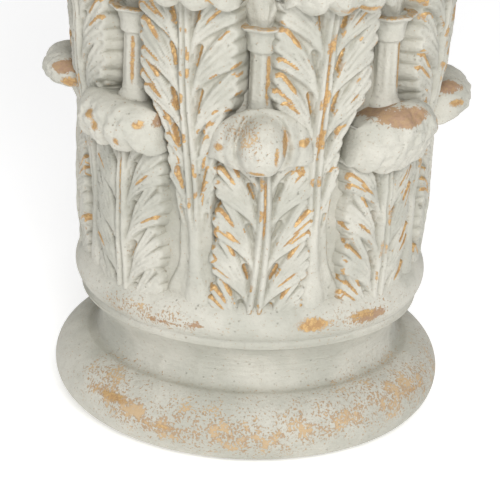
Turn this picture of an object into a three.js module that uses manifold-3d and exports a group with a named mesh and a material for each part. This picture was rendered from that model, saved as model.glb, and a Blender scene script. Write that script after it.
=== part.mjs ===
// A plinth cast in one piece in the form of a Corinthian capital on a rounded foot.
// Two rows of eight acanthus leaves stand round a bell. A stalk rises behind each lower leaf, and from its
// cup a volute runs to the nearest corner and a helix to the nearest face, under a hollow-sided abacus.
// Millimetres, +Z up. The origin is the middle of the underside, and the abacus faces look along X and Y.
import * as THREE from "three";
import { mergeVertices } from "three/addons/utils/BufferGeometryUtils.js";
import Module from "manifold-3d";

// The foot, the hollow above it and the half-round ring that carries the leaves
const FOOT_RADIUS = 165;
const FOOT_HEIGHT = 57;
const NECK_RADIUS = 126;
const NECK_HEIGHT = 44;
const RING_RADIUS = 149;
const RING_HEIGHT = 38;

// The bell that the leaves stand on, and its lip under the abacus
const BELL_RADIUS = 128;
const BELL_HEIGHT = 401;
const LIP_RADIUS = 146;
const LIP_HEIGHT = 16;

// The abacus: half its size across the horns and across the hollow sides
const HORN_REACH = 262;
const HORN_WIDTH = 44;
const SIDE_REACH = 152;
const ABACUS_HEIGHT = 60;
const ABACUS_STEP = 9;

// Leaves: their height from the foot of the leaf, and how far face and curled tip stand off the bell
const LEAF_SINK = 8;
const LOWER_HEIGHT = 172;
const LOWER_WIDTH = 78;
const LOWER_STAND = 18;
const LOWER_REACH = 50;
const UPPER_HEIGHT = 305;
const UPPER_WIDTH = 88;
const UPPER_STEM_WIDTH = 26;
const UPPER_STAND = 24;
const UPPER_REACH = 66;
const CURL_HEIGHT = 44;

// Stalks, their cups and the scrolls that spring from them
const STALK_RADIUS = 9;
const STALK_TOP = 234;
const CUP_RADIUS = 17;
const CUP_HEIGHT = 17;
const SCROLL_BAND = 16;
const VOLUTE_RADIUS = 46;
const VOLUTE_DEPTH = 18;
const HELIX_RADIUS = 28;
const HELIX_DEPTH = 15;
const HELIX_CLEAR = 9;
const FLOWER_RADIUS = 27;
const FLOWER_DEPTH = 16;

// Small sizes: carving on the leaves, and how far one form is let into the next
const UPPER_LEAN = 10;
const MIDRIB_RISE = 3;
const VALLEY_DEPTH = 3.5;
const NOTCH_DEPTH = 3;
const CURL_BACK_DROP = 6;
const CUP_NECK = 3;
const SCROLL_SINK = 3;
const VOLUTE_CLEAR = 6;

// Round stretches of the profiles, in half turns from straight out
const FOOT_ARC = [-0.5, 0.58];
const HOLLOW_ARC = [1.2, 0.75];
const RING_ARC = [-0.5, 0.5];
const LIP_ARC = [-0.2, 0.3];
const CURL_ARC = [-0.6, 0.6];

// The bell's wall: the share of the lip's overhang that it reaches, and how late it spreads
const BELL_SPREAD = 0.62;
const BELL_CURVE = 3;

// A leaf's own proportions, as shares of its height, width, stand or curl
const LEAF_OPENING = 0.16;
const LEAF_TAPER = 0.1;
const LEAF_FOOT_STAND = 0.62;
const LEAF_STAND_RISE = 3;
const MIDRIB_WIDTH = 0.16;
const VALLEY_PLACE = 0.3;
const VALLEY_WIDTH = 0.14;
const EDGE_FALL = 0.3;
const NOTCH_WIDTH = 0.16;
const CURL_END_RISE = 0.3;
const CURL_END_FALL = 0.42;
const CURL_CENTRE = 0.42;
const CURL_ROUND = 0.58;
const CURL_WIDTH = 0.98;
const CURL_TOP_TAPER = 0.1;
const LEAF_BACK_WIDTH = 0.85;
const LEAF_BURIAL = 0.86;
const LOWER_RIBS = [0, 0.3, 0.62, 1];
const UPPER_RIBS = [0, 0.5, 1];
const UPPER_STEM_SHARE = 0.5;

// A stalk's swellings, as shares of its radius and height, and its cup's waist
const STALK_FOOT = 0.8;
const STALK_FOOT_SWELL = 1.2;
const STALK_FOOT_SHARE = 0.3;
const STALK_NECK = 0.92;
const STALK_COLLAR = 1.35;
const CUP_WAIST = 0.78;
const CUP_WAIST_HEIGHT = 0.45;

// The scrolls: where the winding starts in half turns, how often it turns and how much it draws in
const SCROLL_START = 0.8;
const SCROLL_TURNS = 1.15;
const SCROLL_TIGHTENING = 0.62;
const BAND_THINNING = 0.45;
const ARM_INNER_BEND = 0.4;
const VOLUTE_TURN_IN = 0.06;

// The abacus and its flowers, as shares of their height, step and radius
const HORN_NARROWING = 0.4;
const LOWER_SLAB = 0.6;
const UPPER_SLAB_START = 0.45;
const PETALS = 6;
const PETAL_GAP = 0.74;
const PETAL_STEP = 0.4;
const BUTTON_SHARE = 0.36;

// How finely the round forms are cut into facets, and how many of each form go round
const ROUND_SIDES = 32;
const BELL_SIDES = 16;
const STALK_SIDES = 6;
const VOLUTE_STEPS = 9;
const HELIX_STEPS = 6;
const ABACUS_ARC_STEPS = 6;
const LEAVES = 8;
const CORNERS = 4;
const LOWER_LOBES = 5;
const UPPER_LOBES = 3;
const FOOT_STEPS = 7;
const HOLLOW_STEPS = 3;
const RING_STEPS = 5;
const LIP_STEPS = 1;
const WALL_STEPS = 3;
const CURL_STEPS = 4;

const TURN = 2 * Math.PI;
const LEAF_PITCH = TURN / LEAVES;
const CORNER_PITCH = TURN / CORNERS;

// Heights that follow from the sizes above
const ringBottom = FOOT_HEIGHT + NECK_HEIGHT;
const ringTop = ringBottom + RING_HEIGHT;
const bellTop = ringTop + BELL_HEIGHT;
const leafFoot = ringTop - LEAF_SINK;

const wasm = await Module();
wasm.setup();

/** A manifold solid from a closed three.js geometry. */
function toSolid(geometry) {
  const bare = geometry.clone();
  bare.deleteAttribute("normal");
  bare.deleteAttribute("uv");
  const merged = mergeVertices(bare, 1e-4);
  return new wasm.Manifold(
    new wasm.Mesh({
      numProp: 3,
      vertProperties: Float32Array.from(merged.attributes.position.array),
      triVerts: Uint32Array.from(merged.index.array),
    }),
  );
}

/** A three.js geometry from a manifold solid. */
function toGeometry(solid) {
  const mesh = solid.getMesh();
  const geometry = new THREE.BufferGeometry();
  geometry.setAttribute("position", new THREE.BufferAttribute(mesh.vertProperties, 3));
  geometry.setIndex(new THREE.BufferAttribute(mesh.triVerts, 1));
  const flat = geometry.toNonIndexed();
  flat.computeVertexNormals();
  return flat;
}

/** The same geometry turned about the upright axis. */
function turned(geometry, angle) {
  return geometry.clone().rotateZ(angle);
}

/** An indexed geometry from a flat list of corner places and a list of corner numbers. */
function indexed(positions, index) {
  const geometry = new THREE.BufferGeometry();
  geometry.setAttribute("position", new THREE.Float32BufferAttribute(positions, 3));
  geometry.setIndex(index);
  return geometry;
}

/**
 * A closed skin over rings of points that follow each other across a piece. Each ring point is {r, z, place}:
 * r and z are flat coordinates that its end cap is cut from, place is where the point is.
 */
function loft(rings) {
  const count = rings[0].length;
  const index = [];
  for (let i = 0; i + 1 < rings.length; i++) {
    for (let k = 0; k < count; k++) {
      const next = (k + 1) % count;
      const [a, b] = [i * count + k, i * count + next];
      index.push(a, b + count, b, a, a + count, b + count);
    }
  }
  const cap = (ring, start, flip) => {
    const outline = ring.map(({ r, z }) => new THREE.Vector2(r, z));
    for (const [a, b, c] of THREE.ShapeUtils.triangulateShape(outline, [])) {
      index.push(start + a, start + (flip ? b : c), start + (flip ? c : b));
    }
  };
  cap(rings[0], 0, true);
  cap(rings.at(-1), (rings.length - 1) * count, false);
  return indexed(rings.flat().flatMap(({ place }) => place), index);
}

/** The bell's radius at a height over its foot: nearly upright, and spreading towards the lip. */
function bellRadius(height) {
  const share = Math.min(Math.max(height / BELL_HEIGHT, 0), 1);
  return BELL_RADIUS + (LIP_RADIUS - BELL_RADIUS) * BELL_SPREAD * share ** BELL_CURVE;
}

/** Points on an arc in a profile over a span in half turns, seen with the axis on the left. */
function arc(r, z, radiusR, radiusZ, span, steps) {
  const [from, to] = span.map((halfTurns) => halfTurns * Math.PI);
  return Array.from({ length: steps + 1 }, (_, i) => {
    const angle = from + ((to - from) * i) / steps;
    return new THREE.Vector2(r + radiusR * Math.cos(angle), z + radiusZ * Math.sin(angle));
  });
}

/** A turned form from a profile that starts and ends on the upright axis. */
function turnedForm(profile, sides) {
  return new THREE.LatheGeometry(profile, sides).rotateX(Math.PI / 2);
}

/** The foot, the hollow over it and the half-round ring. */
function footGeometry() {
  const footHalf = FOOT_HEIGHT / 2;
  const ringHalf = RING_HEIGHT / 2;
  const hollow = NECK_HEIGHT / 2;
  return turnedForm([
    new THREE.Vector2(0, 0),
    ...arc(FOOT_RADIUS - footHalf, footHalf, footHalf, footHalf, FOOT_ARC, FOOT_STEPS),
    ...arc(NECK_RADIUS + hollow, ringBottom - hollow, hollow, hollow, HOLLOW_ARC, HOLLOW_STEPS),
    ...arc(RING_RADIUS - ringHalf, ringBottom + ringHalf, ringHalf, ringHalf, RING_ARC, RING_STEPS),
    new THREE.Vector2(0, ringTop),
  ], ROUND_SIDES);
}

/** The bell from inside the ring up to its lip, and on into the abacus. */
function bellGeometry() {
  const lip = LIP_HEIGHT / 2;
  const wall = Array.from({ length: WALL_STEPS + 1 }, (_, i) => {
    const height = ((BELL_HEIGHT - LIP_HEIGHT) * i) / WALL_STEPS;
    return new THREE.Vector2(bellRadius(height), ringTop + height);
  });
  return turnedForm([
    new THREE.Vector2(0, leafFoot),
    new THREE.Vector2(BELL_RADIUS, leafFoot),
    ...wall,
    ...arc(LIP_RADIUS - lip, bellTop - lip, lip, lip, LIP_ARC, LIP_STEPS),
    new THREE.Vector2(BELL_RADIUS, bellTop + ABACUS_HEIGHT / 2),
    new THREE.Vector2(0, bellTop + ABACUS_HEIGHT / 2),
  ], BELL_SIDES);
}

/** How wide a leaf is at a share of its height: a stem, then lobes that swell and close to the curl. */
function leafHalfWidth(leaf, share) {
  const opening = THREE.MathUtils.smoothstep(share, leaf.stemShare, leaf.stemShare + LEAF_OPENING);
  const base = THREE.MathUtils.lerp(leaf.stemWidth, leaf.width, opening);
  return (base / 2) * (1 - LEAF_TAPER * share ** 6);
}

/** The outline of a leaf's section at one place across it, foot to curl to back, as rows of {r, z, half}. */
function leafSection(leaf, across) {
  const side = Math.abs(across);
  const curlTop = leaf.height;
  const curlBottom = curlTop - CURL_HEIGHT * (1 - CURL_END_RISE * side ** 2);
  const risen = (share) => Math.sin((Math.min(share * LEAF_STAND_RISE, 1) * Math.PI) / 2);
  const face = (share) => leaf.stand * (LEAF_FOOT_STAND + (1 - LEAF_FOOT_STAND) * risen(share));
  const rows = [];
  const stemSteps = leaf.stemShare > 0 ? 1 : 0;
  const lobeSteps = leaf.lobes * 2;
  const stemTop = leaf.stemShare * curlTop;
  for (let i = 0; i <= stemSteps + lobeSteps; i++) {
    const step = i - stemSteps;
    const height = step < 0 ? 0 : stemTop + ((curlBottom - stemTop) * step) / lobeSteps;
    const share = height / curlTop;
    const notch = step > 0 && step % 2 === 0 ? 1 : 0;
    const midrib = MIDRIB_RISE * Math.exp(-((across / MIDRIB_WIDTH) ** 2));
    const valley = -VALLEY_DEPTH * Math.exp(-(((side - VALLEY_PLACE) / VALLEY_WIDTH) ** 2));
    const edge = -EDGE_FALL * leaf.stand * side ** 4 - NOTCH_DEPTH * notch * side;
    const lean = leaf.lean * share ** 2;
    rows.push({
      r: bellRadius(height) + face(share) + lean + midrib + valley + edge,
      z: height,
      half: leafHalfWidth(leaf, share) * (1 - NOTCH_WIDTH * notch),
    });
  }
  const depth = (leaf.reach - leaf.stand - leaf.lean) * (1 - CURL_END_FALL * side ** 2);
  const middle = (curlTop + curlBottom) / 2;
  const inner = rows.at(-1).r;
  const curl = arc(inner + depth * CURL_CENTRE, middle, depth * CURL_ROUND, (curlTop - curlBottom) / 2,
    CURL_ARC, CURL_STEPS);
  const curlHalf = leafHalfWidth(leaf, 1);
  for (const point of curl) {
    const taper = CURL_WIDTH - CURL_TOP_TAPER * (point.y - curlBottom) / CURL_HEIGHT;
    rows.push({ r: point.x, z: point.y, half: curlHalf * taper });
  }
  const buried = LEAF_BURIAL * BELL_RADIUS;
  rows.push({ r: buried, z: curlTop - CURL_BACK_DROP, half: curlHalf * LEAF_BACK_WIDTH });
  rows.push({ r: buried, z: 0, half: leafHalfWidth(leaf, 0) * LEAF_BACK_WIDTH });
  return rows;
}

/** One acanthus leaf on the bell, facing along +X, cut at its midrib and at ribs on either side. */
function leafGeometry(leaf) {
  const half = leaf.ribs.slice(1).reverse();
  const stations = [...half.map((across) => -across), ...leaf.ribs];
  const wrap = BELL_RADIUS + leaf.stand;
  return loft(
    stations.map((across) =>
      leafSection(leaf, across).map(({ r, z, half }) => {
        const angle = (across * half) / wrap;
        return { r, z, place: [r * Math.cos(angle), r * Math.sin(angle), leafFoot + z] };
      }),
    ),
  );
}

/** A stalk with a ring at its foot and a flared cup, standing against the bell, out along +X. */
function stalkGeometry() {
  const foot = leafFoot + LOWER_HEIGHT * STALK_FOOT;
  const cup = ringTop + STALK_TOP - CUP_HEIGHT;
  const rows = [
    [0, foot],
    [STALK_RADIUS * STALK_FOOT_SWELL, foot],
    [STALK_RADIUS, foot + STALK_FOOT_SHARE * (cup - foot)],
    [STALK_RADIUS * STALK_NECK, cup - CUP_NECK],
    [STALK_RADIUS * STALK_COLLAR, cup],
    [CUP_RADIUS * CUP_WAIST, cup + CUP_HEIGHT * CUP_WAIST_HEIGHT],
    [CUP_RADIUS, cup + CUP_HEIGHT],
    [0, cup + CUP_HEIGHT],
  ];
  const profile = rows.map(([r, z]) => new THREE.Vector2(r, z));
  return turnedForm(profile, STALK_SIDES).translate(stalkReach(), 0, 0);
}

/** How far from the axis a stalk's middle stands. */
function stalkReach() {
  return bellRadius(STALK_TOP) + STALK_RADIUS;
}

/**
 * A scroll's outline in an upright plane: an arm that rises from the stalk's cup and winds in round an eye.
 * x runs from the cup towards the eye, and y is the height.
 */
function scrollShape(scroll) {
  const start = SCROLL_START * Math.PI;
  const edge = (inset) => Array.from({ length: scroll.steps + 1 }, (_, i) => {
    const share = i / scroll.steps;
    const angle = start - SCROLL_TURNS * TURN * share;
    const band = SCROLL_BAND * (1 - BAND_THINNING * share);
    const radius = scroll.radius * (1 - SCROLL_TIGHTENING * share) - inset * band;
    return new THREE.Vector2(scroll.eyeX + radius * Math.cos(angle), scroll.eyeY + radius * Math.sin(angle));
  });
  const outer = edge(0);
  const inner = edge(1);
  const half = SCROLL_BAND / 2;
  const bendY = (scroll.footY + outer[0].y) / 2;
  const shape = new THREE.Shape();
  shape.moveTo(-half, scroll.footY);
  shape.quadraticCurveTo(outer[0].x - half, bendY, outer[0].x, outer[0].y);
  outer.slice(1).forEach(({ x, y }) => shape.lineTo(x, y));
  inner.reverse().forEach(({ x, y }) => shape.lineTo(x, y));
  shape.quadraticCurveTo(inner.at(-1).x + half * ARM_INNER_BEND, bendY, half, scroll.footY);
  shape.closePath();
  return shape;
}

/** A volute or helix: a band wound in an upright plane. */
function scrollSolid(scroll) {
  const band = new THREE.ExtrudeGeometry(scrollShape(scroll), {
    depth: scroll.depth, bevelEnabled: false, curveSegments: 2,
  });
  band.translate(0, 0, -scroll.depth / 2).rotateX(Math.PI / 2).rotateZ(scroll.heading);
  return toSolid(band.translate(scroll.footX, scroll.footOut, 0));
}

/** A scroll that runs from the stalk at half a leaf pitch to a place at the given angle and reach. */
function scrollTo(angle, reach, radius, depth, steps) {
  const from = new THREE.Vector2(stalkReach(), 0).rotateAround(new THREE.Vector2(), LEAF_PITCH / 2);
  const to = new THREE.Vector2(reach, 0).rotateAround(new THREE.Vector2(), angle);
  const run = to.clone().sub(from);
  return {
    footX: from.x,
    footOut: from.y,
    footY: ringTop + STALK_TOP - CUP_HEIGHT / 2,
    heading: run.angle(),
    eyeX: run.length(),
    eyeY: bellTop - radius + SCROLL_SINK,
    radius,
    depth,
    steps,
  };
}

/** A scroll and its mirror image across the plane that looks out at an angle. */
function mirroredPair(solid, angle) {
  const normal = [-Math.sin(angle), Math.cos(angle), 0];
  return solid.add(solid.mirror(normal));
}

/** The hollow-sided plan of the abacus, drawn in by an inset. */
function abacusShape(inset) {
  const horn = HORN_REACH - inset;
  const halfHorn = HORN_WIDTH / 2 - inset * HORN_NARROWING;
  const waist = SIDE_REACH - inset;
  const points = [];
  for (let corner = 0; corner < CORNERS; corner++) {
    const middle = CORNER_PITCH * corner;
    const end = new THREE.Vector2(horn, -halfHorn).rotateAround(new THREE.Vector2(), CORNER_PITCH / 2);
    const chord = end.y;
    const sag = end.x - waist;
    const radius = (chord ** 2 + sag ** 2) / (2 * sag);
    const sweep = Math.asin(chord / radius);
    for (let i = 0; i <= ABACUS_ARC_STEPS; i++) {
      const angle = sweep * ((2 * i) / ABACUS_ARC_STEPS - 1);
      const point = new THREE.Vector2(waist + radius * (1 - Math.cos(angle)), radius * Math.sin(angle));
      points.push(point.rotateAround(new THREE.Vector2(), middle));
    }
  }
  return new THREE.Shape(points);
}

/** The abacus: a drawn-in lower step under the full slab. */
function abacusSolid() {
  const slab = (inset, bottom, height) =>
    toSolid(new THREE.ExtrudeGeometry(abacusShape(inset), { depth: height, bevelEnabled: false })
      .translate(0, 0, bottom));
  const lower = slab(ABACUS_STEP, bellTop, ABACUS_HEIGHT * LOWER_SLAB);
  const upperStart = ABACUS_HEIGHT * UPPER_SLAB_START;
  const upper = slab(0, bellTop + upperStart, ABACUS_HEIGHT - upperStart);
  return lower.add(upper);
}

/** The flower in the middle of an abacus side: round petals about a button, out along +X. */
function flowerSolid() {
  const outline = Array.from({ length: PETALS * 2 }, (_, i) => {
    const angle = (TURN * i) / (PETALS * 2);
    const radius = FLOWER_RADIUS * (i % 2 === 0 ? PETAL_GAP : 1);
    return new THREE.Vector2(radius * Math.cos(angle), radius * Math.sin(angle));
  });
  const height = bellTop + ABACUS_HEIGHT / 2;
  const back = SIDE_REACH - ABACUS_STEP - FLOWER_DEPTH;
  const petalDepth = FLOWER_DEPTH * 2 + ABACUS_STEP * PETAL_STEP;
  const outward = (geometry) => geometry.rotateY(Math.PI / 2).translate(back, 0, height);
  const petalRing = new THREE.Shape(outline);
  const disc = new THREE.ExtrudeGeometry(petalRing, { depth: petalDepth, bevelEnabled: false });
  const button = new THREE.SphereGeometry(FLOWER_RADIUS * BUTTON_SHARE, 6, 4).translate(0, 0, petalDepth);
  return toSolid(outward(disc)).add(toSolid(outward(button)));
}

const lowerLeaf = {
  height: LOWER_HEIGHT, width: LOWER_WIDTH, stand: LOWER_STAND, reach: LOWER_REACH,
  lobes: LOWER_LOBES, ribs: LOWER_RIBS, stemShare: 0, stemWidth: LOWER_WIDTH, lean: 0,
};
const upperLeaf = {
  height: UPPER_HEIGHT, width: UPPER_WIDTH, stand: UPPER_STAND, reach: UPPER_REACH,
  lobes: UPPER_LOBES, ribs: UPPER_RIBS, stemShare: UPPER_STEM_SHARE, stemWidth: UPPER_STEM_WIDTH,
  lean: UPPER_LEAN,
};

/** Everything, joined into the one cast piece. */
function plinthSolid() {
  const voluteAngle = CORNER_PITCH / 2 - VOLUTE_TURN_IN;
  const voluteReach = HORN_REACH - VOLUTE_RADIUS - VOLUTE_CLEAR;
  const volute = scrollTo(voluteAngle, voluteReach, VOLUTE_RADIUS, VOLUTE_DEPTH, VOLUTE_STEPS);
  const helixAngle = Math.asin(HELIX_RADIUS / LIP_RADIUS);
  const helix = scrollTo(helixAngle, LIP_RADIUS + HELIX_CLEAR, HELIX_RADIUS, HELIX_DEPTH, HELIX_STEPS);
  const corner = mirroredPair(scrollSolid(volute), CORNER_PITCH / 2);
  const face = mirroredPair(scrollSolid(helix), 0).add(flowerSolid());
  const pieces = [toSolid(footGeometry()), toSolid(bellGeometry()), abacusSolid()];
  for (let i = 0; i < LEAVES; i++) {
    pieces.push(toSolid(turned(leafGeometry(lowerLeaf), LEAF_PITCH * (i + 0.5))));
    pieces.push(toSolid(turned(leafGeometry(upperLeaf), LEAF_PITCH * i)));
    pieces.push(toSolid(turned(stalkGeometry(), LEAF_PITCH * (i + 0.5))));
  }
  for (let i = 0; i < CORNERS; i++) {
    const degrees = THREE.MathUtils.radToDeg(CORNER_PITCH * i);
    pieces.push(corner.rotate([0, 0, degrees]), face.rotate([0, 0, degrees]));
  }
  return pieces.reduce((whole, piece) => whole.add(piece));
}

const castPaint = new THREE.MeshStandardMaterial({ color: 0xd9d8ce, roughness: 0.72, metalness: 0 });
const plinth = new THREE.Mesh(toGeometry(plinthSolid()), castPaint);
plinth.name = "plinth";

const model = new THREE.Group();
model.name = "capital_plinth";
model.add(plinth);

export default model;
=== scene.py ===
"""A plinth cast in the form of a Corinthian capital, painted off-white over gold and worn.

Sizes are in millimetres until a mesh is made. Angles on the plinth are counted in degrees from +X, and the
camera looks from the side of -Y. Every piece is a closed mesh, and all of them ride on the one cast body.
"""

from __future__ import annotations

import logging
import math
from dataclasses import dataclass, field
from enum import Enum

import bpy
import numpy as np
from mathutils import Matrix, Vector

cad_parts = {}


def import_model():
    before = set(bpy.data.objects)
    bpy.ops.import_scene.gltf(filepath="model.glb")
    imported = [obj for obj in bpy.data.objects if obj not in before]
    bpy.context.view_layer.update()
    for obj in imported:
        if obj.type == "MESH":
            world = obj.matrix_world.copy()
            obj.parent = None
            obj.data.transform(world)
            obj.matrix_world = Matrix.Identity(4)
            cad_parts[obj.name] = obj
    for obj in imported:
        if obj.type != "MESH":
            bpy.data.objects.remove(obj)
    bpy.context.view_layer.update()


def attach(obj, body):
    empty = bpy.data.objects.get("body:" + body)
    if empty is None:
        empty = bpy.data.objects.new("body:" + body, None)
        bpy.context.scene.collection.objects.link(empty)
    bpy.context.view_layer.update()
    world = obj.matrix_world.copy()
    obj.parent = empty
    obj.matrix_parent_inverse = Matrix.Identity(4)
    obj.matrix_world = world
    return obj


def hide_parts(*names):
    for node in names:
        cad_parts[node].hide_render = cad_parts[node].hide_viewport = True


LOG = logging.getLogger("plinth")
MM = 0.001
BODY = "root"
NODE = "plinth"
# The hollow mask is painted shade in recesses, creases and under parts, with some grime
MASKS = ("gold", "worn", "stipple", "hollow")


@dataclass(frozen=True)
class KnobForm:
    """A leaf's rolled-over tip: its outline from the front and how far its parts stand out.

    Attributes:
        half: half its width, on a leaf 80 mm wide.
        shoulder: share of the row's reach that its broad part takes.
        arch: how far its top falls towards its ends, as a share of its height.
        arch_power: how late that fall starts.
        egg_half: half the width of an egg that swells out of its middle; 0 leaves it out.
        egg_tall: half the egg's height.
        egg_out: how far the egg stands out.
        sag: how far its middle hangs down.
        scallops: how many scallops its lower edge has.
        scallop_depth: how deep they are.
        fold: how deep the folds down it are.
        fold_pitch: how far apart the folds lie.
        tuck: how far its lower edge is drawn up.
        crest: its height as a share of the row's.
        end_power: how square its ends are.
        drape: how far its lower edge runs down over the leaf.
    """

    half: float = 42.5
    shoulder: float = 0.92
    arch: float = 0.2
    arch_power: float = 4
    egg_half: float = 0
    egg_tall: float = 27
    egg_out: float = 15
    sag: float = 0
    scallops: float = 4
    scallop_depth: float = 5
    fold: float = 0.5
    fold_pitch: float = 12
    tuck: float = 0
    crest: float = 1
    end_power: float = 3.2
    drape: float = 0


class Curl(Enum):
    """The ways in which the tips of the leaves roll over."""

    PILLOW = KnobForm(scallop_depth=7, fold=0.9, crest=0.92, drape=3)
    EGG = KnobForm(half=40, shoulder=0.66, arch=0.45, arch_power=2.2, egg_half=19, sag=3, scallops=3,
                   scallop_depth=3, fold_pitch=10, tuck=3, crest=1.14, end_power=2.6)
    SHELL = KnobForm(half=42, shoulder=0.94, arch=0.40, arch_power=2.4, sag=2, scallops=5, scallop_depth=2.5,
                     fold=1.3, fold_pitch=14, drape=15)
    BUN = KnobForm(half=40, scallop_depth=3, fold=0.9, crest=0.76)
    CAP = KnobForm(half=38, scallop_depth=3, fold=0.9, tuck=20)


class Socket:
    """A shader socket that Python's own operators work on."""

    def __init__(self, tree: "ShaderTree", socket: bpy.types.NodeSocket) -> None:
        """Wraps one output socket of a shader tree."""
        self.tree = tree
        self.socket = socket

    def _maths(self, operation: str, *values: "Socket | float", clamp: bool = False) -> "Socket":
        """One Math node on these values."""
        return self.tree.node("ShaderNodeMath", {"operation": operation, "use_clamp": clamp}, *values)

    def __add__(self, other: "Socket | float") -> "Socket":
        """Sum."""
        return self._maths("ADD", self, other)

    def __radd__(self, other: float) -> "Socket":
        """Sum with the number first."""
        return self._maths("ADD", other, self)

    def __sub__(self, other: "Socket | float") -> "Socket":
        """Difference."""
        return self._maths("SUBTRACT", self, other)

    def __rsub__(self, other: float) -> "Socket":
        """Difference with the number first."""
        return self._maths("SUBTRACT", other, self)

    def __mul__(self, other: "Socket | float") -> "Socket":
        """Product."""
        return self._maths("MULTIPLY", self, other)

    def __rmul__(self, other: float) -> "Socket":
        """Product with the number first."""
        return self._maths("MULTIPLY", other, self)

    def step(self, low: float, high: float) -> "Socket":
        """A soft step from 0 at low to 1 at high."""
        settings = {"interpolation_type": "SMOOTHSTEP", "clamp": True}
        return self.tree.node("ShaderNodeMapRange", settings, self, low, high, 0.0, 1.0)

    def clamped(self) -> "Socket":
        """The value held between 0 and 1."""
        return self._maths("ADD", self, 0.0, clamp=True)


class ShaderTree:
    """A material's node tree, filled from expressions."""

    def __init__(self, name: str) -> None:
        """Starts an empty material with an output and a Principled shader."""
        self.material = bpy.data.materials.new(name)
        self.material.use_nodes = True
        self.nodes = self.material.node_tree.nodes
        self.links = self.material.node_tree.links
        self.nodes.clear()
        output = self.nodes.new("ShaderNodeOutputMaterial")
        self.shader = self.nodes.new("ShaderNodeBsdfPrincipled")
        self.links.new(self.shader.outputs["BSDF"], output.inputs["Surface"])

    def node(self, kind: str, settings: dict, *values: "Socket | float | tuple | None",
             out: int = 0) -> Socket:
        """Adds a node.

        Args:
            kind: the node's type name.
            settings: properties that are set before the sockets are filled.
            values: what goes into the input sockets in order; None leaves one as it is.
            out: which output to give back.

        Returns:
            The output socket, wrapped.
        """
        node = self.nodes.new(kind)
        for key, value in settings.items():
            setattr(node, key, value)
        for place, value in enumerate(values):
            if isinstance(value, Socket):
                self.links.new(value.socket, node.inputs[place])
            elif value is not None:
                node.inputs[place].default_value = value
        return Socket(self, node.outputs[out])

    def mask(self, name: str) -> Socket:
        """A value that the mesh carries on its points."""
        return self.node("ShaderNodeAttribute", {"attribute_name": name}, out=2)

    def place(self) -> Socket:
        """The point's place on the object."""
        return self.node("ShaderNodeTexCoord", {}, out=3)

    def noise(self, place: Socket, size_mm: float, detail: float = 3.0, rough: float = 0.55) -> Socket:
        """Noise whose lumps measure about size_mm."""
        return self.node("ShaderNodeTexNoise", {}, place, None, 1 / (size_mm * MM), detail, rough)

    def mix(self, share: Socket, first: "Socket | tuple", second: "Socket | tuple") -> Socket:
        """A colour between two."""
        node = self.nodes.new("ShaderNodeMix")
        node.data_type = "RGBA"
        self.links.new(share.socket, node.inputs[0])
        for place, value in ((6, first), (7, second)):
            if isinstance(value, Socket):
                self.links.new(value.socket, node.inputs[place])
            else:
                node.inputs[place].default_value = value
        return Socket(self, node.outputs[2])

    def feed(self, name: str, value: "Socket | float | tuple") -> None:
        """Feeds an input of the Principled shader."""
        if isinstance(value, Socket):
            self.links.new(value.socket, self.shader.inputs[name])
        else:
            self.shader.inputs[name].default_value = value


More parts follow.
